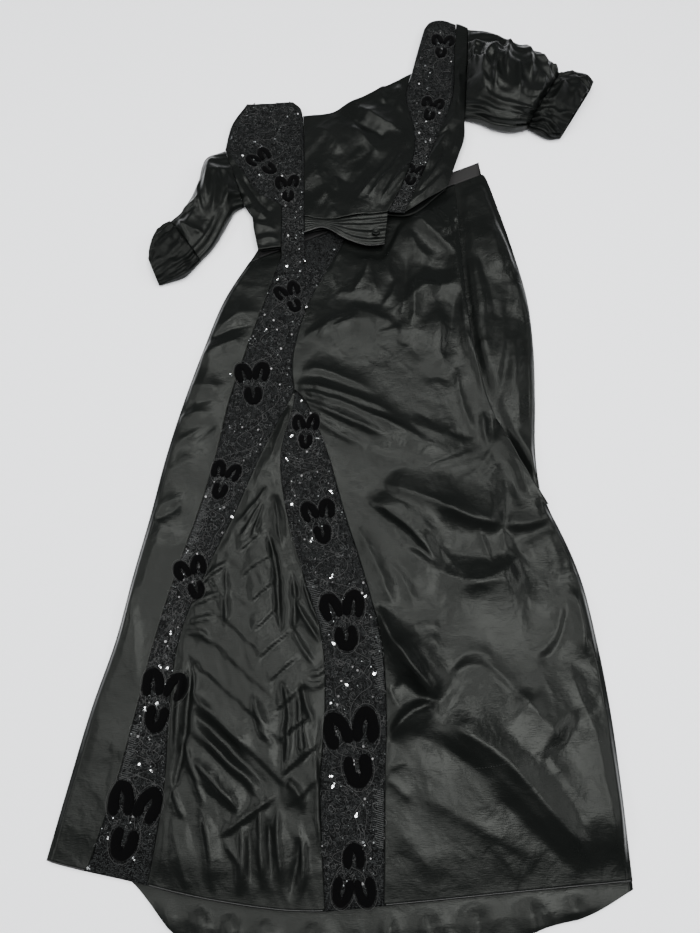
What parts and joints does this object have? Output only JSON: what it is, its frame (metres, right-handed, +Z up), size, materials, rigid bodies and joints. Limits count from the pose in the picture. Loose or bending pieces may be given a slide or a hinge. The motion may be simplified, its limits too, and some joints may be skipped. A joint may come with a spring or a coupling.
{
  "type": "mourning dress laid flat",
  "caption": "Two-piece black satin mourning dress, laid flat: bodice with puffed sleeves over a draped skirt with beaded net bands and velvet flowers.",
  "frame": {"origin": "on the flat underside of the skirt's back panel, on the floor, 0.31 m below the waist's middle", "axes": "+Y from the hem to the shoulders, +X to the viewer's right, +Z up from the floor"},
  "size_m": [0.8229, 1.5726, 0.0533],
  "materials": {
    "satin": "glossy black satin with a grey-green sheen",
    "net": "fine black net with thread work, beads and sequins",
    "velvet": "matte black velvet pile",
    "waistband": "plain grey-blue cotton"
  },
  "bodies": {
    "root": {"skirt_back": "satin", "skirt_gore_left": "satin", "skirt_inset": "satin", "skirt_drape": "satin", "skirt_side_right": "satin", "bodice_back": "satin", "bodice_side_left": "satin", "bodice_plastron": "satin", "bodice_sash": "satin", "bodice_button": "satin", "bodice_side_right": "satin", "sleeve_left": "satin", "cuff_left": "satin", "sleeve_right": "satin", "cuff_right": "satin", "skirt_band_left": "net", "skirt_band_right": "net", "bodice_lace_left": "net", "bodice_lace_strip": "net", "bodice_lace_right": "net", "skirt_waistband": "waistband", "flower_band_a_1": "velvet", "flower_band_a_2": "velvet", "flower_band_a_3": "velvet", "flower_band_a_4": "velvet", "flower_band_a_5": "velvet", "flower_band_a_6": "velvet", "flower_band_b_1": "velvet", "flower_band_b_2": "velvet", "flower_band_b_3": "velvet", "flower_band_b_4": "velvet", "flower_band_b_5": "velvet", "flower_yoke_1": "velvet", "flower_yoke_2": "velvet", "flower_lace_1": "velvet", "flower_lace_2": "velvet", "flower_lace_3": "velvet"}
  },
  "joints": []
}
